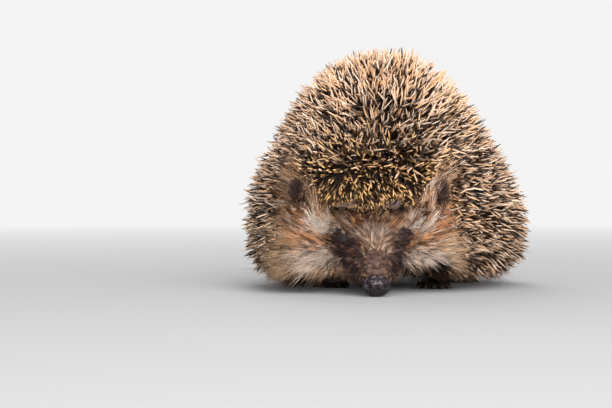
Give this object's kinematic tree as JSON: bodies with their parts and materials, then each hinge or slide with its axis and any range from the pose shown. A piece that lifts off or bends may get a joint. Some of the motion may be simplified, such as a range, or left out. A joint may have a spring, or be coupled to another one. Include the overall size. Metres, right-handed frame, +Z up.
{
  "type": "hedgehog",
  "caption": "Life-size still model of a European hedgehog crouching with its head low and its nose to the ground, its coat of spines raised in a high dome.",
  "frame": {"origin": "on the ground under the middle of the animal's bounding box", "axes": "+Z up, -Y the way the animal faces, +X to the animal's left"},
  "size_m": [0.1497, 0.1838, 0.1269],
  "materials": {
    "spines": "stiff banded spines, pale tip over a dark brown band",
    "fur": "coarse cream, tan and brown hair",
    "nose_leather": "moist, finely wrinkled skin",
    "eye": "wet gloss",
    "ear_skin": "thin, finely haired skin",
    "paw_skin": "bare, granular skin",
    "claw": "satin horn"
  },
  "bodies": {
    "root": {"head": "fur", "neck": "spines", "trunk": "spines", "tail": "paw_skin", "nose": "nose_leather", "eye_left": "eye", "eye_right": "eye", "ear_left": "ear_skin", "ear_right": "ear_skin", "foreleg_left": "paw_skin", "foreleg_right": "paw_skin", "hindleg_left": "paw_skin", "hindleg_right": "paw_skin"}
  },
  "joints": []
}
